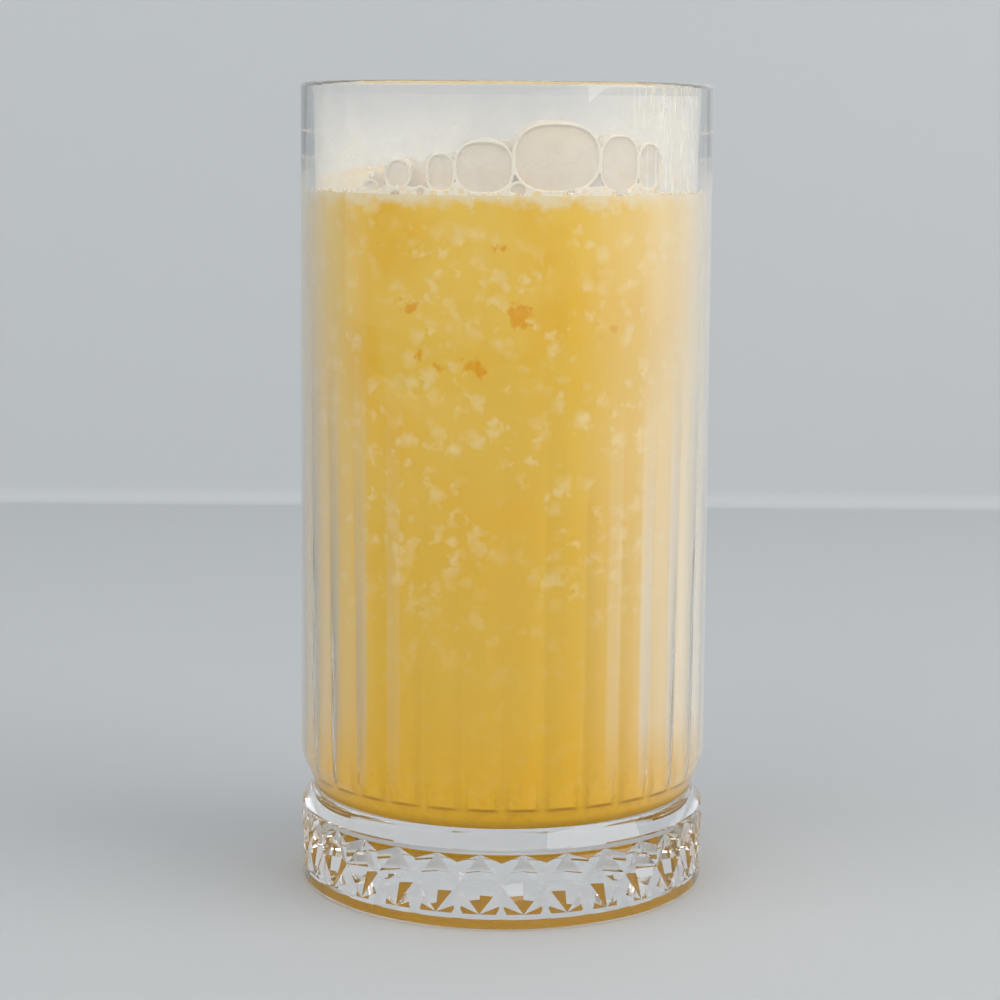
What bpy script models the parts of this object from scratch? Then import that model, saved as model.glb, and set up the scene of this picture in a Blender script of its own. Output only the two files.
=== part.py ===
"""A straight highball glass filled with mango smoothie.

The glass is one pressed piece: a plain lip, thirty flutes on the inside of its wall, a narrow
waist, and a thick foot that carries a band of cut diamonds. The drink is one solid that follows
the fluted cavity up to its level, with the large bubbles of its froth standing on top.
Metres, +Z up, with the origin on the axis at the level that the foot stands on. Angles start at
the front, -Y, and grow towards +X.
"""

import math

import bmesh
import bpy

MM = 0.001

# The whole glass
GLASS_HEIGHT = 152.0 * MM
RIM_RADIUS = 38.6 * MM
BODY_RADIUS = 38.8 * MM
LIP_THICKNESS = 2.0 * MM
LIP_ROUNDING = 1.1 * MM

# The waist between body and foot
BODY_FOOT_Z = 26.5 * MM
BODY_BEND_RADIUS = 8.0 * MM
TAPER_ANGLE = math.radians(24)
TAPER_DROP = 1.42 * MM
WAIST_RADIUS = 2.5 * MM
SHOULDER_ANGLE = math.radians(35)

# The foot and its band of diamonds
FOOT_RADIUS = 38.6 * MM
DIAMOND_COUNT = 30
BAND_TOP_Z = 14.0 * MM
BAND_TOP_RADIUS = 37.6 * MM
BAND_FOOT_Z = 3.2 * MM
BAND_FOOT_RADIUS = 38.5 * MM
CROSSING_RADIUS = 38.5 * MM
HOLLOW_RADIUS = 36.8 * MM
HIGH_PEAK_RADIUS = 38.7 * MM
HIGH_PEAK_Z = 12.75 * MM
LOW_PEAK_RADIUS = 38.2 * MM
LOW_PEAK_Z = 4.8 * MM
EDGE_RIDGE = 0.3 * MM
BEAD_WIDEST_Z = 1.3 * MM
BEAD_CORNER = (0.35 * MM, 0.39 * MM)
RESTING_RADIUS = 37.4 * MM
RECESS_RADIUS = 35.0 * MM
RECESS_SLOPE = 2.0 * MM
RECESS_HEIGHT = 1.0 * MM

# The cavity and its flutes
FLOOR_Z = 17.0 * MM
FLOOR_CORNER = 4.0 * MM
CAVITY_FOOT_RADIUS = 33.6 * MM
FLUTE_COUNT = 30
FLUTE_TOP_Z = 108.0 * MM
FLUTE_FOOT_Z = 22.4 * MM
FLUTE_LEDGE = 0.6 * MM
FLUTE_DEPTH = 1.1 * MM

# The drink
DRINK_LEVEL = 132.0 * MM
DRINK_GAP = 0.3 * MM
FROTH_COLLAR_WIDTH = 2.2 * MM
FROTH_COLLAR_HEIGHT = 1.0 * MM

# Bubbles that cling to the front of the wall: sideways, radius, height of the centre above the level
BUBBLES_MM = (
    (8.7, 11.5, 1.1),
    (-1.6, 14.0, -4.5),
    (-12.0, 7.0, 0.0),
    (18.8, 7.5, 3.0),
    (24.8, 7.0, 2.5),
    (-19.0, 4.2, 2.2),
    (-23.0, 2.2, 1.6),
    (2.1, 2.0, 1.1),
    (19.4, 1.9, 1.1),
)
BUBBLE_RINGS_BY_SIZE = ((6.0 * MM, 12), (4.0 * MM, 10), (0.0, 8))
BUBBLE_WALL_GAP = 0.35 * MM
PLUG_FOOT_Z = 118.0 * MM
PLUG_TOP_Z = 149.0 * MM

# Four columns of faces to each flute and each diamond
STEPS_PER_FLUTE = 4
COLUMNS = FLUTE_COUNT * STEPS_PER_FLUTE
SMOOTH_ANGLE = math.radians(28)


def clear_scene():
    """Removes whatever the file opened with."""
    for found in list(bpy.data.objects):
        bpy.data.objects.remove(found, do_unlink=True)


def make_collection(name):
    """A collection linked to the scene."""
    collection = bpy.data.collections.new(name)
    bpy.context.scene.collection.children.link(collection)
    return collection


def make_material(name, colour, roughness, transmission):
    """A Principled material, clear if its transmission is 1."""
    material = bpy.data.materials.new(name)
    material.use_nodes = True
    shader = material.node_tree.nodes["Principled BSDF"]
    shader.inputs["Base Color"].default_value = (*colour, 1.0)
    shader.inputs["Roughness"].default_value = roughness
    shader.inputs["Metallic"].default_value = 0.0
    shader.inputs["Transmission Weight"].default_value = transmission
    material.diffuse_color = (*colour, 1.0)
    return material


def arc(centre_radius, centre_z, size, start, end, steps):
    """Points (radius, z) on an arc. Angles run from straight out, 0, to straight up, 90 degrees."""
    points = []
    for step in range(steps + 1):
        angle = start + (end - start) * step / steps
        points.append((centre_radius + size * math.cos(angle), centre_z + size * math.sin(angle)))
    return points


def waist_profile():
    """The outside from the band's top edge up to the straight body."""
    bend_centre = BODY_RADIUS - BODY_BEND_RADIUS
    bend = arc(bend_centre, BODY_FOOT_Z, BODY_BEND_RADIUS, 0.0, -TAPER_ANGLE, 3)
    taper_radius, taper_z = bend[-1]
    taper_radius -= TAPER_DROP
    taper_z -= TAPER_DROP / math.tan(TAPER_ANGLE)
    hollow_centre = taper_radius + WAIST_RADIUS * math.cos(TAPER_ANGLE)
    hollow_z = taper_z - WAIST_RADIUS * math.sin(TAPER_ANGLE)
    hollow = arc(
        hollow_centre,
        hollow_z,
        WAIST_RADIUS,
        math.pi - TAPER_ANGLE,
        math.pi + SHOULDER_ANGLE,
        4,
    )
    shoulder_radius, shoulder_z = hollow[-1]
    ridge_z = shoulder_z - (FOOT_RADIUS - shoulder_radius) / math.tan(SHOULDER_ANGLE)
    ridge = [(FOOT_RADIUS, ridge_z), (FOOT_RADIUS, BAND_TOP_Z + EDGE_RIDGE)]
    return list(reversed(bend + hollow + ridge))


def bead_profile():
    """The outside below the diamonds, from the resting ring up to their foot."""
    inset, corner_z = BEAD_CORNER
    return [
        (RESTING_RADIUS, 0.0),
        (FOOT_RADIUS - inset, corner_z),
        (FOOT_RADIUS, BEAD_WIDEST_Z),
        (BAND_FOOT_RADIUS, BAND_FOOT_Z),
    ]


def lip_profile():
    """The rounded lip, from the outside over the top to the inside."""
    inner_radius = RIM_RADIUS - LIP_THICKNESS
    shoulder_z = GLASS_HEIGHT - LIP_ROUNDING
    middle = (RIM_RADIUS + inner_radius) / 2
    points = []
    steps = 4
    for step in range(steps + 1):
        angle = math.pi * step / steps
        radius = middle + LIP_THICKNESS / 2 * math.cos(angle)
        points.append((radius, shoulder_z + LIP_ROUNDING * math.sin(angle)))
    return points


def cavity_radius(z):
    """Radius of the plain, slightly tapered inside wall."""
    lip_z = GLASS_HEIGHT - LIP_ROUNDING
    share = (z - FLUTE_FOOT_Z) / (lip_z - FLUTE_FOOT_Z)
    return CAVITY_FOOT_RADIUS + (RIM_RADIUS - LIP_THICKNESS - CAVITY_FOOT_RADIUS) * share


def flute_depth(z):
    """How far the flutes are pressed into the wall at a height. They run out towards the top."""
    share = (FLUTE_TOP_Z - z) / (FLUTE_TOP_Z - FLUTE_FOOT_Z)
    return FLUTE_DEPTH * min(max(share, 0.0), 1.0)


def fluted_radius(z, angle, gap):
    """Radius of the fluted wall: round channels side by side, with a sharp rib between two."""
    channel = abs(math.sin(FLUTE_COUNT * angle / 2))
    return cavity_radius(z) + flute_depth(z) * channel - gap


def ring(bm, z, radius_at):
    """A closed ring of vertices at one height."""
    verts = []
    for column in range(COLUMNS):
        angle = math.tau * column / COLUMNS
        radius = radius_at(angle)
        verts.append(bm.verts.new((radius * math.sin(angle), -radius * math.cos(angle), z)))
    return verts


def plain_ring(bm, radius, z):
    """A round ring of vertices."""
    return ring(bm, z, lambda angle: radius)


def join_rings(bm, lower, upper):
    """Faces between two rings, from one to the next around the axis."""
    for column in range(COLUMNS):
        after = (column + 1) % COLUMNS
        bm.faces.new((lower[column], lower[after], upper[after], upper[column]))


def join_all(bm, rings):
    """Faces between each ring and the next."""
    for lower, upper in zip(rings, rings[1:]):
        join_rings(bm, lower, upper)


def place(bm, corner):
    """One vertex by angle in degrees, radius and height."""
    degrees, radius, z = corner
    angle = math.radians(degrees)
    return bm.verts.new((radius * math.sin(angle), -radius * math.cos(angle), z))


def fan(bm, edge, tip):
    """Triangles from each step of an edge to one tip."""
    for one, other in zip(edge, edge[1:]):
        bm.faces.new((one, other, tip))


def diamond_band(bm, lower, upper):
    """Thirty hollow diamonds, with a half diamond above and below each crossing of their edges.

    The edges between them stand out. Each half diamond has a low peak of its own, the upper one
    close under the band's top edge.
    """
    pitch = 360.0 / DIAMOND_COUNT
    half = STEPS_PER_FLUTE // 2
    middle_z = (BAND_TOP_Z + BAND_FOOT_Z) / 2
    crossings = []
    hollows = []
    for i in range(DIAMOND_COUNT):
        crossings.append(place(bm, (pitch * i, CROSSING_RADIUS, middle_z)))
        hollows.append(place(bm, (pitch * (i + 0.5), HOLLOW_RADIUS, middle_z)))
    for i in range(DIAMOND_COUNT):
        after = (i + 1) % DIAMOND_COUNT
        column = (i * STEPS_PER_FLUTE + half) % COLUMNS
        rim = [crossings[i], upper[column], crossings[after], lower[column], crossings[i]]
        fan(bm, rim, hollows[i])
        span = [(i * STEPS_PER_FLUTE + step) % COLUMNS for step in range(-half, half + 1)]
        high_peak = place(bm, (pitch * i, HIGH_PEAK_RADIUS, HIGH_PEAK_Z))
        fan(bm, [crossings[i]] + [upper[c] for c in span] + [crossings[i]], high_peak)
        low_peak = place(bm, (pitch * i, LOW_PEAK_RADIUS, LOW_PEAK_Z))
        fan(bm, [crossings[i]] + [lower[c] for c in span] + [crossings[i]], low_peak)


def cavity_rings(bm, gap):
    """Rings of the fluted wall from the flutes' top down to the edge of the floor."""
    rings = []
    for share in (0.0, 0.5, 1.0):
        z = FLUTE_TOP_Z + (FLUTE_FOOT_Z - FLUTE_TOP_Z) * share
        rings.append(ring(bm, z, lambda angle, z=z: fluted_radius(z, angle, gap)))
    corner_radius = FLOOR_CORNER - gap
    corner_z = FLOOR_Z + FLOOR_CORNER
    corner_centre = CAVITY_FOOT_RADIUS - FLOOR_CORNER
    ledge_z = FLUTE_FOOT_Z - FLUTE_LEDGE
    rings.append(plain_ring(bm, CAVITY_FOOT_RADIUS - gap, ledge_z))
    for radius, z in arc(corner_centre, corner_z, corner_radius, 0.0, -math.pi / 2, 3):
        rings.append(plain_ring(bm, radius, z))
    return rings


def finish_mesh(bm, name, material, collection):
    """Turns the built faces into an object, its normals pointing out, smooth where it is round."""
    bmesh.ops.recalc_face_normals(bm, faces=bm.faces)
    mesh = bpy.data.meshes.new(name)
    bm.to_mesh(mesh)
    bm.free()
    mesh.materials.append(material)
    mesh.shade_smooth()
    mesh.set_sharp_from_angle(angle=SMOOTH_ANGLE)
    made = bpy.data.objects.new(name, mesh)
    collection.objects.link(made)
    return made


def make_glass(collection):
    """The glass: underside, bead, diamonds, waist, body, lip, cavity and floor as one skin."""
    bm = bmesh.new()
    recess = [(RECESS_RADIUS - RECESS_SLOPE, RECESS_HEIGHT), (RECESS_RADIUS, 0.0)]
    below = [plain_ring(bm, *spot) for spot in recess + bead_profile()]
    above = [plain_ring(bm, BAND_TOP_RADIUS, BAND_TOP_Z)]
    above += [plain_ring(bm, *spot) for spot in waist_profile() + lip_profile()]
    above += cavity_rings(bm, 0.0)
    bm.faces.new(below[0])
    join_all(bm, below)
    diamond_band(bm, below[-1], above[0])
    join_all(bm, above)
    bm.faces.new(above[-1])
    clear = make_material("clear_glass", (0.93, 0.95, 0.95), 0.02, 1.0)
    return finish_mesh(bm, "glass", clear, collection)


def drink_body(bm):
    """The drink without its bubbles, with a low collar of froth where it meets the wall."""
    wall = cavity_radius(DRINK_LEVEL) - DRINK_GAP
    collar_z = DRINK_LEVEL + FROTH_COLLAR_HEIGHT
    rings = [
        plain_ring(bm, wall - FROTH_COLLAR_WIDTH, DRINK_LEVEL),
        plain_ring(bm, wall - FROTH_COLLAR_WIDTH / 2, DRINK_LEVEL + FROTH_COLLAR_HEIGHT * 0.3),
        plain_ring(bm, cavity_radius(collar_z) - DRINK_GAP, collar_z),
    ]
    rings += cavity_rings(bm, DRINK_GAP)
    bm.faces.new(rings[0])
    join_all(bm, rings)
    bm.faces.new(rings[-1])


def make_bubble(index, sizes, collection):
    """One bubble as a ball centred on the front of the wall."""
    sideways, radius, lift = (size * MM for size in sizes)
    wall = cavity_radius(DRINK_LEVEL + lift)
    back = -math.sqrt(wall * wall - sideways * sideways)
    rings = next(count for smallest, count in BUBBLE_RINGS_BY_SIZE if radius >= smallest)
    bm = bmesh.new()
    bmesh.ops.create_uvsphere(bm, u_segments=2 * rings, v_segments=rings, radius=radius)
    mesh = bpy.data.meshes.new(f"bubble_{index}")
    bm.to_mesh(mesh)
    bm.free()
    bubble = bpy.data.objects.new(f"bubble_{index}", mesh)
    bubble.location = (sideways, back, DRINK_LEVEL + lift)
    collection.objects.link(bubble)
    return bubble


def make_cavity_plug(collection):
    """The room inside the glass round the level, which trims the bubbles to the wall."""
    bm = bmesh.new()
    rings = []
    for z in (PLUG_FOOT_Z, PLUG_TOP_Z):
        rings.append(plain_ring(bm, cavity_radius(z) - BUBBLE_WALL_GAP, z))
    bm.faces.new(rings[0])
    join_all(bm, rings)
    bm.faces.new(rings[-1])
    bmesh.ops.recalc_face_normals(bm, faces=bm.faces)
    mesh = bpy.data.meshes.new("cavity_plug")
    bm.to_mesh(mesh)
    bm.free()
    plug = bpy.data.objects.new("cavity_plug", mesh)
    plug.hide_render = True
    plug.display_type = "WIRE"
    collection.objects.link(plug)
    return plug


def apply_boolean(target, operation, tool):
    """Changes the target by one Boolean with a tool object or a collection of them."""
    boolean = target.modifiers.new(operation.lower(), "BOOLEAN")
    boolean.operation = operation
    boolean.solver = "EXACT"
    if isinstance(tool, bpy.types.Collection):
        boolean.operand_type = "COLLECTION"
        boolean.collection = tool
    else:
        boolean.object = tool
    graph = bpy.context.evaluated_depsgraph_get()
    changed = bpy.data.meshes.new_from_object(target.evaluated_get(graph))
    target.modifiers.remove(boolean)
    target.data = changed
    changed.name = target.name


def remove_tools(collection):
    """Removes tool objects and their collection once they have been used."""
    for tool in list(collection.objects):
        bpy.data.objects.remove(tool, do_unlink=True)
    bpy.data.collections.remove(collection)


def make_smoothie(collection):
    """The drink with its bubbles fused on."""
    bm = bmesh.new()
    drink_body(bm)
    mango = make_material("mango_smoothie", (0.72, 0.42, 0.08), 0.35, 0.0)
    drink = finish_mesh(bm, "smoothie", mango, collection)
    cutters = make_collection("cutters")
    plug = make_cavity_plug(cutters)
    bubbles = make_collection("bubble_shapes")
    for index, sizes in enumerate(BUBBLES_MM):
        apply_boolean(make_bubble(index, sizes, bubbles), "INTERSECT", plug)
    apply_boolean(drink, "UNION", bubbles)
    remove_tools(bubbles)
    remove_tools(cutters)
    return drink


clear_scene()
part = make_collection("mango_smoothie")
make_glass(part)
make_smoothie(part)
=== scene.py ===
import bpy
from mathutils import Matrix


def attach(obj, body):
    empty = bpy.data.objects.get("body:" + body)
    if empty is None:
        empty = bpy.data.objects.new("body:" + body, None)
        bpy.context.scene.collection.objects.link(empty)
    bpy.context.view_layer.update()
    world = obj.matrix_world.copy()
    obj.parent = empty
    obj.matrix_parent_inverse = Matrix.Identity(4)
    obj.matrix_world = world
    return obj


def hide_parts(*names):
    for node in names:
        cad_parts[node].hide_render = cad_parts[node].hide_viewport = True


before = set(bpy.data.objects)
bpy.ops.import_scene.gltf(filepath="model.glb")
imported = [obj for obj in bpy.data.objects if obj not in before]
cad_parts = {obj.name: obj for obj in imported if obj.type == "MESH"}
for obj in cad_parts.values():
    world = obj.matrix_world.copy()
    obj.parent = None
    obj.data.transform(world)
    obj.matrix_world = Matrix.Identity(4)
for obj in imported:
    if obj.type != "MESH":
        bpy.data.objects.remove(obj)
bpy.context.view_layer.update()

import math
import random

import bmesh
import bpy
from mathutils import Vector

MM = 0.001

# The glass: one piece of clear soda-lime glass, pressed in a mould with thirty flutes on the
# inside of its wall and thirty cut diamonds round its foot, then fire-polished at the lip, which
# leaves every edge slightly soft. It stands on a narrow ring round a shallow hollow.
glass_height = 152.0 * MM
rim_radius = 38.6 * MM
body_radius = 38.8 * MM
lip_thickness = 2.0 * MM
lip_rounding = 1.1 * MM
body_foot_z = 26.5 * MM
body_bend = 8.0 * MM
taper = math.radians(24)
taper_drop = 1.42 * MM
waist_rounding = 2.5 * MM
shoulder = math.radians(35)
foot_radius = 38.6 * MM
band_top_z = 14.0 * MM
band_top_radius = 37.6 * MM
band_foot_z = 3.2 * MM
band_foot_radius = 38.5 * MM
crossing_radius = 38.5 * MM
hollow_radius = 36.8 * MM
high_peak_radius = 38.7 * MM
high_peak_z = 12.75 * MM
low_peak_radius = 38.2 * MM
low_peak_z = 4.8 * MM
edge_ridge = 0.3 * MM
bead_widest_z = 1.3 * MM
resting_radius = 37.4 * MM
resting_middle = 36.2 * MM
recess_radius = 35.0 * MM
recess_slope = 2.0 * MM
recess_height = 1.0 * MM
disc_rings = (8.0 * MM, 20.0 * MM)
floor_z = 17.0 * MM
floor_corner = 4.0 * MM
cavity_foot_radius = 33.6 * MM
flute_count = 30
flute_top_z = 108.0 * MM
flute_foot_z = 22.4 * MM
flute_ledge = 0.6 * MM
flute_full_depth = 1.1 * MM
flute_softness = 0.05
steps_per_flute = 20
columns = flute_count * steps_per_flute


def round_point(radius, angle, z):
    return (radius * math.sin(angle), -radius * math.cos(angle), z)


def arc(centre_radius, centre_z, size, start, end, steps):
    points = []
    for step in range(steps + 1):
        angle = start + (end - start) * step / steps
        points.append((centre_radius + size * math.cos(angle), centre_z + size * math.sin(angle)))
    return points


def cavity_radius(z):
    share = (z - flute_foot_z) / (glass_height - lip_rounding - flute_foot_z)
    return cavity_foot_radius + (rim_radius - lip_thickness - cavity_foot_radius) * share


def fluted_radius(z, angle, reach):
    depth_share = (flute_top_z - z) / (flute_top_z - flute_foot_z)
    depth = flute_full_depth * min(max(depth_share, 0.0), 1.0)
    across = math.sin(flute_count * angle / 2)
    channel = math.sqrt(across * across + flute_softness * flute_softness)
    return cavity_radius(z) + depth * channel + reach


def diamond_corner(bm, degrees, radius, z):
    return bm.verts.new(round_point(radius, math.radians(degrees), z))


def fan(bm, edge, tip):
    for one, other in zip(edge, edge[1:]):
        bm.faces.new((one, other, tip))


def diamond_band(bm, lower, upper):
    pitch = 360.0 / flute_count
    half = steps_per_flute // 2
    middle_z = (band_top_z + band_foot_z) / 2
    crossings = []
    hollows = []
    for i in range(flute_count):
        crossings.append(diamond_corner(bm, pitch * i, crossing_radius, middle_z))
        hollows.append(diamond_corner(bm, pitch * (i + 0.5), hollow_radius, middle_z))
    for i in range(flute_count):
        after = (i + 1) % flute_count
        column = (i * steps_per_flute + half) % columns
        rim = [crossings[i], upper[column], crossings[after], lower[column], crossings[i]]
        fan(bm, rim, hollows[i])
        span = [(i * steps_per_flute + step) % columns for step in range(-half, half + 1)]
        high_peak = diamond_corner(bm, pitch * i, high_peak_radius, high_peak_z)
        fan(bm, [crossings[i]] + [upper[c] for c in span] + [crossings[i]], high_peak)
        low_peak = diamond_corner(bm, pitch * i, low_peak_radius, low_peak_z)
        fan(bm, [crossings[i]] + [lower[c] for c in span] + [crossings[i]], low_peak)


def ring(bm, z, radius_at):
    angles = [math.tau * column / columns for column in range(columns)]
    return [bm.verts.new(round_point(radius_at(angle), angle, z)) for angle in angles]


def round_rings(bm, outline):
    return [ring(bm, z, lambda angle, radius=radius: radius) for radius, z in outline]


def join_rings(bm, rings):
    for lower, upper in zip(rings, rings[1:]):
        for column in range(columns):
            after = (column + 1) % columns
            bm.faces.new((lower[column], lower[after], upper[after], upper[column]))


def waist_outline():
    wall_bend = arc(body_radius - body_bend, body_foot_z, body_bend, 0.0, -taper, 10)
    taper_radius, taper_z = wall_bend[-1]
    taper_radius -= taper_drop
    taper_z -= taper_drop / math.tan(taper)
    centre_radius = taper_radius + waist_rounding * math.cos(taper)
    centre_z = taper_z - waist_rounding * math.sin(taper)
    waist = arc(centre_radius, centre_z, waist_rounding, math.pi - taper, math.pi + shoulder, 14)
    last_radius, last_z = waist[-1]
    ridge_z = last_z - (foot_radius - last_radius) / math.tan(shoulder)
    ridge = [
        (foot_radius - 0.1 * MM, ridge_z + 0.14 * MM),
        (foot_radius, ridge_z - 0.1 * MM),
        (foot_radius - 0.02 * MM, band_top_z + edge_ridge),
        (foot_radius - 0.3 * MM, band_top_z + 0.08 * MM),
    ]
    return list(reversed(wall_bend + waist + ridge))


def bead_outline():
    points = []
    for step in range(9):
        angle = -math.pi / 2 + math.pi / 2 * step / 8
        radius = resting_radius + (foot_radius - resting_radius) * math.cos(angle)
        points.append((radius, bead_widest_z + bead_widest_z * math.sin(angle)))
    points.append((band_foot_radius, band_foot_z))
    return points


def lip_outline():
    half = lip_thickness / 2
    top_z = glass_height - lip_rounding
    points = []
    for step in range(15):
        angle = math.pi * step / 14
        radius = rim_radius - half + half * math.cos(angle)
        points.append((radius, top_z + lip_rounding * math.sin(angle)))
    return points


def cavity_rings(bm, reach):
    rings = []
    for step in range(17):
        z = flute_top_z + (flute_foot_z - flute_top_z) * step / 16
        rings.append(ring(bm, z, lambda angle: fluted_radius(z, angle, reach)))
    ledge_radius = cavity_foot_radius + reach

    def ledge_at(angle):
        return fluted_radius(flute_foot_z, angle, reach) * (1 - share) + ledge_radius * share

    for share in (0.3, 0.6):
        rings.append(ring(bm, flute_foot_z - flute_ledge * share, ledge_at))
    corner_radius = cavity_foot_radius - floor_corner
    corner_z = floor_z + floor_corner
    outline = [(ledge_radius, flute_foot_z - flute_ledge)]
    outline += arc(corner_radius, corner_z, floor_corner + reach, 0.0, -math.pi / 2, 12)
    return rings + round_rings(bm, outline)


def finish_piece(bm, name, material, sharpest=40):
    bmesh.ops.recalc_face_normals(bm, faces=bm.faces)
    mesh = bpy.data.meshes.new(name)
    bm.to_mesh(mesh)
    bm.free()
    mesh.materials.append(material)
    mesh.shade_smooth()
    mesh.set_sharp_from_angle(angle=math.radians(sharpest))
    made = bpy.data.objects.new(name, mesh)
    bpy.context.scene.collection.objects.link(made)
    return made


def new_material(name):
    material = bpy.data.materials.new(name)
    material.use_nodes = True
    material.node_tree.nodes.clear()
    return material


def add_node(material, kind, **values):
    node = material.node_tree.nodes.new(kind)
    for key, value in values.items():
        node.inputs[key.replace("_", " ")].default_value = value
    return node


def fill_inputs(material, node, values):
    for slot, value in zip(node.inputs, values):
        if isinstance(value, (float, tuple)):
            slot.default_value = value
        else:
            material.node_tree.links.new(value, slot)


def math_node(material, operation, *values):
    node = add_node(material, "ShaderNodeMath")
    node.operation = operation
    fill_inputs(material, node, values)
    return node.outputs[0]


def product(material, first, *others):
    for other in others:
        first = math_node(material, "MULTIPLY", first, other)
    return first


def ramp_between(material, value, low, high, at_low=0.0, at_high=1.0):
    node = add_node(material, "ShaderNodeMapRange")
    fill_inputs(material, node, (value, float(low), float(high), at_low, at_high))
    return node.outputs[0]


def mix_shaders(material, share, first, second):
    node = add_node(material, "ShaderNodeMixShader")
    fill_inputs(material, node, (share, first, second))
    return node.outputs[0]


def show(material, shader):
    out = add_node(material, "ShaderNodeOutputMaterial")
    material.node_tree.links.new(shader, out.inputs["Surface"])


def where_on(material):
    where = add_node(material, "ShaderNodeTexCoord").outputs["Object"]
    split = add_node(material, "ShaderNodeSeparateXYZ")
    material.node_tree.links.new(where, split.inputs[0])
    return where, split.outputs


satin_share_most = 0.025
edge_share_most = 0.5
lamp_light_through = (0.93, 0.93, 0.93, 1.0)

clear_glass = new_material("clear_glass")
where, axes = where_on(clear_glass)
body = add_node(clear_glass, "ShaderNodeBsdfPrincipled", Roughness=0.0, IOR=1.52)
body.inputs["Base Color"].default_value = (1.0, 1.0, 1.0, 1.0)
body.inputs["Transmission Weight"].default_value = 1.0
satin = add_node(clear_glass, "ShaderNodeBsdfGlossy", Roughness=0.6, Color=(0.95, 0.95, 0.93, 1.0))
satin_share = ramp_between(
    clear_glass, axes["Z"], band_top_z + 0.6 * MM, band_top_z, 0.0, satin_share_most
)
edge_on = add_node(clear_glass, "ShaderNodeLayerWeight", Blend=0.5)
edge_share = ramp_between(clear_glass, edge_on.outputs["Facing"], 0.5, 0.85, 0.0, edge_share_most)
above_foot = ramp_between(clear_glass, axes["Z"], 20 * MM, 26 * MM)
gloss_share = math_node(clear_glass, "MULTIPLY_ADD", edge_share, above_foot, satin_share)
skin = mix_shaders(clear_glass, gloss_share, body.outputs[0], satin.outputs[0])
ray = add_node(clear_glass, "ShaderNodeLightPath")
lamps_pass = add_node(clear_glass, "ShaderNodeBsdfTransparent", Color=lamp_light_through)
show(clear_glass, mix_shaders(clear_glass, ray.outputs["Is Shadow Ray"], skin, lamps_pass.outputs[0]))

glass_mesh = bmesh.new()
underside = [(radius, recess_height) for radius in disc_rings]
underside += [(recess_radius - recess_slope, recess_height), (recess_radius, 0.0), (resting_middle, 0.0)]
below = round_rings(glass_mesh, underside + bead_outline())
above = round_rings(glass_mesh, [(band_top_radius, band_top_z)] + waist_outline() + lip_outline())
above += cavity_rings(glass_mesh, 0.0)
above += round_rings(glass_mesh, [(radius, floor_z) for radius in reversed(disc_rings)])
glass_mesh.faces.new(below[0])
join_rings(glass_mesh, below)
diamond_band(glass_mesh, below[-1], above[0])
join_rings(glass_mesh, above)
glass_mesh.faces.new(above[-1])
glass = finish_piece(glass_mesh, "clear_highball_glass", clear_glass, 8)
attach(glass, "root")
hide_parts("glass")

# The drink: blended mango, thick and opaque, poured in up to just under the lip. It lies against
# the glass everywhere, so its skin reaches a touch into the wall and takes the flutes' form.
# Air whipped in makes pale flecks, ripe pulp makes deep spots, and heavy pulp settles at the foot.
drink_level = 132.0 * MM
wall_reach = 0.12 * MM
mango_yellow = (0.80, 0.50, 0.052, 1.0)
upper_yellow = (0.87, 0.57, 0.085, 1.0)
settled_orange = (0.82, 0.45, 0.001, 1.0)
ripe_orange = (0.84, 0.47, 0.015, 1.0)
grain_orange = (0.72, 0.34, 0.002, 1.0)
pulp_orange = (0.80, 0.36, 0.004, 1.0)
whipped_cream = (0.92, 0.75, 0.41, 1.0)
foam_cream = (0.86, 0.74, 0.50, 1.0)
foam_hollow = (0.84, 0.58, 0.20, 1.0)
# Colour of the painted light on the drink's floor, below.
painted_light_amber = (0.80, 0.38, 0.0, 1.0)
wet_gloss = (1.0, 0.94, 0.82, 1.0)
fleck_kinds = (
    (3.6 * MM, 0.50, 0.42),
    (2.3 * MM, 0.35, 0.40),
)
pulp_bits = [
    (2.3, 111.2, 2.2),
    (2.9, 109.4, 1.3),
    (-1.2, 122.8, 1.0),
    (18.6, 108.8, 0.8),
    (-15.0, 103.7, 1.0),
    (-11.1, 101.5, 1.1),
    (-5.9, 102.1, 1.5),
    (-4.2, 101.2, 1.2),
    (-16.3, 112.6, 1.6),
]


def vector_node(material, operation, *values):
    node = add_node(material, "ShaderNodeVectorMath")
    node.operation = operation
    fill_inputs(material, node, values)
    return node.outputs["Value" if operation in ("DISTANCE", "LENGTH") else "Vector"]


def blend_colours(material, share, first, second):
    node = material.node_tree.nodes.new("ShaderNodeMix")
    node.data_type = "RGBA"
    links = material.node_tree.links
    links.new(share, node.inputs[0])
    for slot, value in ((6, first), (7, second)):
        if isinstance(value, tuple):
            node.inputs[slot].default_value = value
        else:
            links.new(value, node.inputs[slot])
    return node.outputs[2]


def noise_at(material, spot, size, detail=2.0, stretch=(1, 1, 1)):
    links = material.node_tree.links
    noise = add_node(material, "ShaderNodeTexNoise", Scale=1 / size, Detail=detail)
    if stretch != (1, 1, 1):
        mapping = add_node(material, "ShaderNodeMapping", Scale=stretch)
        links.new(spot, mapping.inputs["Vector"])
        spot = mapping.outputs[0]
    links.new(spot, noise.inputs["Vector"])
    return noise.outputs["Fac"]


def spots_at(material, spot, size, share, softness):
    links = material.node_tree.links
    grid = add_node(material, "ShaderNodeTexVoronoi", Scale=1 / size)
    links.new(spot, grid.inputs["Vector"])
    pick = add_node(material, "ShaderNodeSeparateColor")
    links.new(grid.outputs["Color"], pick.inputs[0])
    chosen = ramp_between(material, pick.outputs[0], share, share * 0.9)
    near = ramp_between(material, grid.outputs["Distance"], 0.58, 0.58 - softness)
    return product(material, chosen, near)


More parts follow.
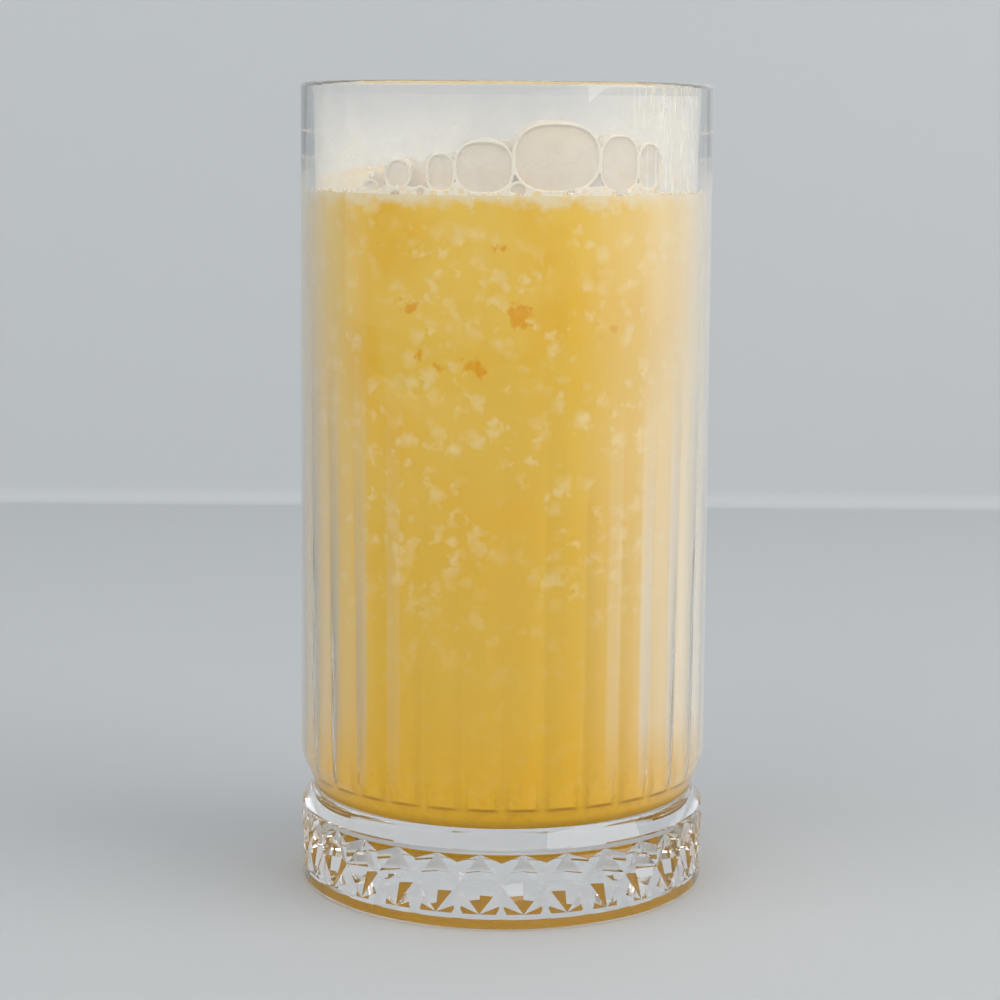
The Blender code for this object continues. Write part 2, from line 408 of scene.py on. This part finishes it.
mango = new_material("mango_drink")
links = mango.node_tree.links
where, axes = where_on(mango)
height = axes["Z"]
upper_share = ramp_between(mango, height, 70 * MM, 128 * MM)
colour = blend_colours(mango, upper_share, mango_yellow, upper_yellow)
patches = noise_at(mango, where, 14 * MM, 3.0, (1, 1, 0.8))
patches = ramp_between(mango, patches, 0.47, 0.66, 0.0, 0.75)
patches = product(mango, patches, ramp_between(mango, height, 60 * MM, 95 * MM, 0.3))
colour = blend_colours(mango, patches, colour, ripe_orange)
settled = ramp_between(mango, height, 48 * MM, 20 * MM, 0.0, 0.8)
colour = blend_colours(mango, settled, colour, settled_orange)
grain_noise = noise_at(mango, where, 1.1 * MM, 2.0)
grains = ramp_between(mango, grain_noise, 0.52, 0.66, 0.0, 0.4)
grains = product(mango, grains, ramp_between(mango, height, 32 * MM, 24 * MM))
colour = blend_colours(mango, grains, colour, grain_orange)
fleck_field = ramp_between(mango, noise_at(mango, where, 8 * MM, 1.0), 0.34, 0.54)
fleck_height = ramp_between(mango, height, 42 * MM, 80 * MM, 0.06, 0.44)
fleck_mask = product(mango, fleck_field, fleck_height)
swirl = add_node(mango, "ShaderNodeTexNoise", Scale=1 / (2.0 * MM), Detail=2.0)
links.new(where, swirl.inputs["Vector"])
swirl_reach = (4.5 * MM, 4.5 * MM, 1.5 * MM)
swirled = vector_node(mango, "MULTIPLY_ADD", swirl.outputs["Color"], swirl_reach, where)
for size, share, softness in fleck_kinds:
    flecks = product(mango, spots_at(mango, swirled, size, share, softness), fleck_mask)
    colour = blend_colours(mango, flecks, colour, whipped_cream)
ragged_noise = noise_at(mango, where, 1.3 * MM, 3.0)
for sideways, z, size in pulp_bits:
    wall = cavity_radius(z * MM)
    spot = (sideways * MM, -math.sqrt(wall**2 - (sideways * MM) ** 2), z * MM)
    away = vector_node(mango, "DISTANCE", where, spot)
    ragged = ramp_between(mango, ragged_noise, 0.3, 0.7, -0.8 * size * MM, 0.8 * size * MM)
    edge = math_node(mango, "ADD", away, ragged)
    bit_share = ramp_between(mango, edge, 1.0 * size * MM, 0.35 * size * MM, 0.0, 0.85)
    colour = blend_colours(mango, bit_share, colour, pulp_orange)
uneven = noise_at(mango, where, 2.6 * MM, 2.0)
uneven = ramp_between(mango, uneven, 0.3, 0.7, -1.1 * MM, 1.1 * MM)
foam_edge = math_node(mango, "ADD", height, uneven)
foam_line = ramp_between(mango, foam_edge, 129.6 * MM, 132.0 * MM, 0.0, 0.9)
colour = blend_colours(mango, foam_line, colour, foam_cream)
on_top = ramp_between(mango, height, drink_level - 0.06 * MM, drink_level - 0.02 * MM)
below_top = ramp_between(mango, height, drink_level - 0.02 * MM, drink_level - 0.06 * MM)
foam_inside = product(mango, ramp_between(mango, grain_noise, 0.42, 0.60, 0.0, 0.6), on_top)
colour = blend_colours(mango, foam_inside, colour, foam_hollow)
flesh = add_node(mango, "ShaderNodeBsdfPrincipled", Roughness=0.6)
flesh.inputs["Specular IOR Level"].default_value = 0.0
links.new(colour, flesh.inputs["Base Color"])
# Painted light: the drink's floor glows amber, standing in for light that comes down through the drink.
painted_floor_light = ramp_between(mango, height, 17.6 * MM, 17.2 * MM, 0.0, 0.10)
links.new(painted_floor_light, flesh.inputs["Emission Strength"])
flesh.inputs["Emission Color"].default_value = painted_light_amber

# Wet against the wall, the drink has a broad gloss that grows stronger seen slantwise. Painted
# sheen is added on top: upright bars in the flutes that stand in for reflections in the fluted
# wall, and more on the right side, where the window light falls.
haze = add_node(mango, "ShaderNodeBsdfGlossy", Roughness=0.6, Color=wet_gloss)
outward = vector_node(mango, "NORMALIZE", vector_node(mango, "MULTIPLY", where, (1.0, 1.0, 0.0)))
slant = add_node(mango, "ShaderNodeLayerWeight", Blend=0.5)
links.new(outward, slant.inputs["Normal"])
facing = slant.outputs["Facing"]
gloss_and_painted_sheen = ramp_between(mango, facing, 0.12, 0.27, 0.0, 0.66)
turn = math_node(mango, "ARCTAN2", axes["X"], math_node(mango, "MULTIPLY", axes["Y"], -1.0))
turn = math_node(mango, "ABSOLUTE", turn)
in_flute = math_node(mango, "MODULO", turn, math.tau / flute_count)
# Painted reflection: upright bars of extra gloss in part of each flute.
painted_flute_bars = product(
    mango,
    ramp_between(mango, in_flute, math.radians(6.2), math.radians(7.4)),
    ramp_between(mango, in_flute, math.radians(12), math.radians(11.2)),
    ramp_between(mango, height, 104 * MM, 55 * MM),
    ramp_between(mango, height, 23.5 * MM, 24.5 * MM),
    ramp_between(mango, facing, 0.05, 0.16, 0.0, 0.5),
)
# Painted sheen: more gloss on the right side, where the window light falls.
painted_sheen_right = ramp_between(mango, axes["X"], 12 * MM, 26 * MM, 0.0, 0.26)
gloss_and_painted_sheen = math_node(mango, "ADD", gloss_and_painted_sheen, painted_sheen_right)
gloss_and_painted_sheen = math_node(mango, "ADD", gloss_and_painted_sheen, painted_flute_bars)
gloss_and_painted_sheen = product(mango, gloss_and_painted_sheen, ramp_between(mango, height, 18.5 * MM, 36 * MM), below_top)
pale = mix_shaders(mango, gloss_and_painted_sheen, flesh.outputs[0], haze.outputs[0])
mirror = add_node(mango, "ShaderNodeBsdfGlossy", Roughness=0.05, Color=(1.0, 1.0, 1.0, 1.0))
edge_mirror = add_node(mango, "ShaderNodeFresnel", IOR=0.82)
on_wall = ramp_between(mango, height, 22.5 * MM, 24 * MM)
mirror_share = product(mango, on_wall, edge_mirror.outputs[0], below_top)
show(mango, mix_shaders(mango, mirror_share, pale, mirror.outputs[0]))

drink_mesh = bmesh.new()
top = [(8.0 * MM, drink_level), (25.0 * MM, drink_level)]
top.append((cavity_radius(drink_level) + wall_reach, drink_level))
drink_rings = round_rings(drink_mesh, top) + cavity_rings(drink_mesh, wall_reach)
drink_rings += round_rings(drink_mesh, [(8.0 * MM, floor_z - wall_reach)])
drink_mesh.faces.new(drink_rings[0])
join_rings(drink_mesh, drink_rings)
drink_mesh.faces.new(drink_rings[-1])
drink = finish_piece(drink_mesh, "mango_drink", mango)
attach(drink, "root")
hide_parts("smoothie")

# The bubbles: large froth bubbles that blending left on top, lying against the front of the wall.
# Each is a thin skin of drink; where it meets the glass or the next bubble the liquid gathers in
# a creamy seam, and between the seams the skin stands off the glass and looks beige.
# A bubble is its place sideways, its radius and its lift above the level, in mm.
bubbles = [
    (8.7, 11.5, 1.1),
    (-1.6, 14.0, -4.5),
    (-12.0, 7.0, 0.0),
    (18.8, 7.5, 3.0),
    (24.8, 7.0, 2.5),
    (-19.0, 4.2, 2.2),
    (-23.0, 2.2, 1.6),
    (2.1, 2.0, 1.1),
    (19.4, 1.9, 1.1),
]
# A seam is its cell's left, right, low and high edge, in mm from the level, and its roundness.
seam_cells = [
    (1.1, 15.9, 0.7, 12.5, 2.5),
    (-8.9, 1.0, 0.4, 9.3, 2.6),
    (-13.7, -9.1, 0.6, 7.1, 2.6),
    (16.1, 22.6, 0.7, 10.4, 2.7),
    (22.7, 26.6, 1.0, 9.0, 2.5),
    (-21.0, -16.6, 1.0, 6.0, 2.1),
    (0.5, 3.4, -0.4, 2.3, 2.0),
    (10.0, 11.8, -0.3, 1.3, 2.0),
    (18.4, 21.0, -0.5, 1.5, 2.0),
    (-24.6, -22.4, 0.3, 2.3, 2.0),
    (-20.4, -17.6, -1.5, 0.7, 2.0),
    (-15.6, -14.0, -0.4, 1.4, 2.0),
    (-6.0, -4.6, -1.0, 0.2, 2.0),
]
seam_width = 0.24 * MM
stand_off = 0.55 * MM
hidden_depth = 2.6 * MM
ball_depth = 1.5 * MM
ball_sunk = 1.2 * MM
bank_height = 1.5 * MM
bank_waves = ((0.5 * MM, 1.7 * MM), (0.35 * MM, 0.83 * MM))
bank_end = 24 * MM
bank_end_slope = 0.4
front_width = 62 * MM
front_height = 14.6 * MM
front_sunk = 1.4 * MM
grid_step = 0.14 * MM
skin_top_z = 138 * MM
low_skin = (0.95, 0.68, 0.30, 1.0)
high_skin = (0.90, 0.78, 0.60, 1.0)
seam_cream = (0.91, 0.85, 0.72, 1.0)
fine_cell_orange = (0.88, 0.62, 0.22, 1.0)

froth = new_material("froth_bubbles")
links = froth.node_tree.links
where, axes = where_on(froth)
axis_distance = vector_node(froth, "LENGTH", vector_node(froth, "MULTIPLY", where, (1.0, 1.0, 0.0)))
wall_there = cavity_radius(skin_top_z)
rise = ramp_between(froth, axes["Z"], drink_level, skin_top_z)
skin_colour = blend_colours(froth, rise, low_skin, high_skin)
seam_share = ramp_between(froth, axis_distance, wall_there - 0.35 * MM, wall_there - 0.05 * MM)
skin_colour = blend_colours(froth, seam_share, skin_colour, seam_cream)
fine_cells = add_node(froth, "ShaderNodeTexVoronoi", Scale=1 / (1.7 * MM))
fine_cells.feature = "DISTANCE_TO_EDGE"
links.new(where, fine_cells.inputs["Vector"])
fine_inside = ramp_between(froth, fine_cells.outputs["Distance"], 0.10, 0.26, 0.0, 0.65)
near_drink = ramp_between(froth, axes["Z"], drink_level + 1.9 * MM, drink_level + 0.6 * MM)
fine_share = product(froth, fine_inside, near_drink)
skin_colour = blend_colours(froth, fine_share, skin_colour, fine_cell_orange)
skin = add_node(froth, "ShaderNodeBsdfPrincipled", Roughness=0.35)
links.new(skin_colour, skin.inputs["Base Color"])
show(froth, skin.outputs[0])


def cell_distance(cell, x, z):
    left, right, low, high, roundness = cell
    half_wide = (right - left) / 2 * MM
    half_high = (high - low) / 2 * MM
    sideways = abs(x - (left + right) / 2 * MM) / half_wide
    upward = abs(z - drink_level - (low + high) / 2 * MM) / half_high
    size = (sideways**roundness + upward**roundness) ** (1 / roundness)
    middle = math.hypot(sideways * half_wide, upward * half_high)
    return (1 - size) * (middle / size if size > 0.3 else min(half_wide, half_high))


def smooth_step(share):
    share = min(max(share, 0.0), 1.0)
    return share * share * (3 - 2 * share)


def froth_depth(x, z):
    inside = max(cell_distance(cell, x, z) for cell in seam_cells)
    if inside > 0:
        return stand_off * smooth_step((inside - seam_width * 0.5) / (1.6 * seam_width))
    bank = drink_level + bank_height
    bank += sum(wave * math.sin(x / length) for wave, length in bank_waves)
    bank -= max(abs(x) - bank_end, 0.0) * bank_end_slope
    past = min(-inside - seam_width, z - bank)
    return hidden_depth * smooth_step(past / (1.2 * seam_width))


for index, (sideways, radius, lift) in enumerate(bubbles):
    ball = bmesh.new()
    bmesh.ops.create_icosphere(ball, subdivisions=5, radius=radius * MM)
    centre_z = drink_level + lift * MM
    wall = cavity_radius(centre_z)
    centre = Vector(round_point(wall, sideways * MM / wall, centre_z))
    for corner in ball.verts:
        corner.co += centre
        corner.co.z = max(corner.co.z, drink_level - ball_sunk)
        reach = math.hypot(corner.co.x, corner.co.y)
        most = cavity_radius(corner.co.z) - ball_depth
        if reach > most:
            corner.co.x *= most / reach
            corner.co.y *= most / reach
    bubble = finish_piece(ball, f"froth_bubble_{index + 1}", froth, 180)
    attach(bubble, "root")

front = bmesh.new()
rows = []
for row in range(int(front_height / grid_step)):
    z = drink_level - front_sunk + row * grid_step
    rows.append([])
    for column in range(int(front_width / grid_step)):
        x = -front_width / 2 + column * grid_step
        depth = froth_depth(x, z)
        wall = cavity_radius(z) + wall_reach * 0.5 - depth
        around = math.asin(x / cavity_radius(z))
        rows[-1].append((front.verts.new(round_point(wall, around, z)), depth))
for lower, upper in zip(rows, rows[1:]):
    for column in range(len(lower) - 1):
        corners = (lower[column], lower[column + 1], upper[column + 1], upper[column])
        if min(depth for corner, depth in corners) < hidden_depth:
            front.faces.new([corner for corner, depth in corners])
for corner in list(front.verts):
    if not corner.link_faces:
        front.verts.remove(corner)
seams = finish_piece(front, "froth_seams", froth, 180)
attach(seams, "root")

# The small froth: fine bubbles in a pale collar where the drink meets the glass, and a few larger
# ones at the front, each a bead of froth that stands against the wall.
collar_beads = 420
collar_seed = random.Random(7)
placed_beads = [
    (-25.0, 3.2, 0.9),
    (-21.2, 0.6, 0.8),
    (-19.4, 1.0, 1.0),
    (-26.5, 0.8, 0.9),
    (-16.5, 0.7, 0.7),
    (12.3, 0.5, 0.9),
    (22.0, 0.4, 1.0),
    (-6.0, 0.3, 0.8),
]


def add_bead(bm, size, fineness, spot):
    made = bmesh.ops.create_icosphere(bm, subdivisions=fineness, radius=size)
    bmesh.ops.translate(bm, verts=made["verts"], vec=spot)


collar = bmesh.new()
for bead in range(collar_beads):
    around = collar_seed.uniform(-math.pi, math.pi)
    size = collar_seed.uniform(0.25, 0.7) * MM
    z = drink_level + collar_seed.uniform(-0.5, 0.35) * MM
    add_bead(collar, size, 2, round_point(cavity_radius(z) - size * 0.75, around, z))
for sideways, lift, size in placed_beads:
    z = drink_level + lift * MM
    reach = cavity_radius(z) - size * 0.8 * MM
    add_bead(collar, size * MM, 3, round_point(reach, sideways * MM / reach, z))
small_froth = finish_piece(collar, "small_froth", froth, 180)
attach(small_froth, "root")

# The film: a milky haze of drink and damp left on the wall above the level, thicker low down,
# with run-down streaks at the right. Towards the right its cover also grows as painted light, where the
# window light falls.
film_top_z = 149.5 * MM
film_gap = 0.06 * MM
film_thickness = 0.04 * MM
film_milk = (0.95, 0.93, 0.87, 1.0)

film = new_material("milky_film")
where, axes = where_on(film)
low_share = ramp_between(film, axes["Z"], 148 * MM, 132 * MM, 0.05, 0.40)
cloud = ramp_between(film, noise_at(film, where, 7 * MM, 3.0), 0.3, 0.7, 0.7, 1.3)
streak = noise_at(film, where, 1.1 * MM, 3.0, (1, 1, 0.12))
streak = ramp_between(film, streak, 0.52, 0.62, 0.0, 0.6)
streak = product(film, streak, ramp_between(film, axes["X"], 22 * MM, 33 * MM))
# Painted light: more milky cover on the right side, where the window light falls.
painted_light_right_film = ramp_between(film, axes["X"], 10 * MM, 34 * MM, 0.0, 0.25)
cover = math_node(film, "ADD", product(film, low_share, cloud), painted_light_right_film)
cover = math_node(film, "ADD", cover, streak)
milk = add_node(film, "ShaderNodeBsdfPrincipled", Roughness=0.5)
milk.inputs["Base Color"].default_value = film_milk
clear = add_node(film, "ShaderNodeBsdfTransparent")
show(film, mix_shaders(film, cover, clear.outputs[0], milk.outputs[0]))

film_mesh = bmesh.new()
outer = [(cavity_radius(z) - film_gap, z) for z in (film_top_z, drink_level + 0.1 * MM)]
inner = [(radius - film_thickness, z) for radius, z in reversed(outer)]
film_rings = round_rings(film_mesh, outer + inner)
join_rings(film_mesh, film_rings + film_rings[:1])
film_piece = finish_piece(film_mesh, "milky_film", film)
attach(film_piece, "root")

# The setting: a pale paper floor that curves up into a pale wall, a soft window light from the
# right, a wide soft fill from the left, and a camera a little above the glass.
camera_distance = 482.0 * MM
camera_height = 146.0 * MM
camera_sideways = -1.3 * MM
camera_pitch = math.radians(7.6)
camera_roll = math.radians(-0.42)
camera = bpy.data.objects.new("camera", bpy.data.cameras.new("camera"))
camera.data.sensor_width = 36.0
camera.data.lens = 91.64
camera.data.shift_y = -0.0453
camera.location = (camera_sideways, -camera_distance, camera_height)
camera.rotation_euler = (math.pi / 2 - camera_pitch, camera_roll, 0.0)
camera.data.clip_start = 0.01
camera.data.clip_end = 50
bpy.context.scene.collection.objects.link(camera)
bpy.context.scene.camera = camera

wall_y = 0.47
wall_top = 1.2
floor_half_wide = 3.0
sweep = 0.006
sweep_steps = 8
floor_drop = 0.05 * MM
paper_grey = (0.57, 0.587, 0.60, 1.0)
profile = [(-floor_half_wide, 0.0), (wall_y - sweep, 0.0)]
for step in range(sweep_steps + 1):
    angle = math.pi / 2 * step / sweep_steps
    profile.append((wall_y - sweep + sweep * math.sin(angle), sweep - sweep * math.cos(angle)))
profile.append((wall_y, wall_top))
floor_mesh = bmesh.new()
previous = None
for y, z in profile:
    pair = [floor_mesh.verts.new((x, y, z - floor_drop)) for x in (-floor_half_wide, floor_half_wide)]
    if previous:
        floor_mesh.faces.new((previous[0], previous[1], pair[1], pair[0]))
    previous = pair
paper = new_material("pale_paper")
sheet = add_node(paper, "ShaderNodeBsdfPrincipled", Roughness=0.9)
sheet.inputs["Base Color"].default_value = paper_grey
show(paper, sheet.outputs[0])
floor = finish_piece(floor_mesh, "floor_and_wall", paper)


def soft_light(name, stand, size, power, colour, mirrored):
    lamp = bpy.data.lights.new(name, "AREA")
    lamp.shape = "RECTANGLE"
    lamp.size = size
    lamp.size_y = size
    lamp.energy = power
    lamp.color = colour
    made = bpy.data.objects.new(name, lamp)
    made.visible_glossy = mirrored
    made.location = stand
    middle = Vector((0.0, 0.0, 0.08))
    made.rotation_euler = (middle - Vector(stand)).to_track_quat("-Z", "Y").to_euler()
    bpy.context.scene.collection.objects.link(made)


soft_light("window", (0.9, -0.4, 0.7), 1.0, 6.6, (1.0, 0.98, 0.95), True)
soft_light("fill", (-0.9, -0.8, 0.7), 1.6, 9.0, (0.95, 0.98, 1.0), False)

scene = bpy.context.scene
scene.world = bpy.data.worlds.new("studio")
scene.world.use_nodes = True
sky = scene.world.node_tree.nodes["Background"]
sky.inputs["Color"].default_value = (0.94, 0.97, 1.0, 1.0)
sky.inputs["Strength"].default_value = 0.60
scene.view_settings.view_transform = "Standard"
scene.cycles.max_bounces = 16
scene.cycles.transmission_bounces = 16
scene.cycles.glossy_bounces = 10
scene.cycles.transparent_max_bounces = 32
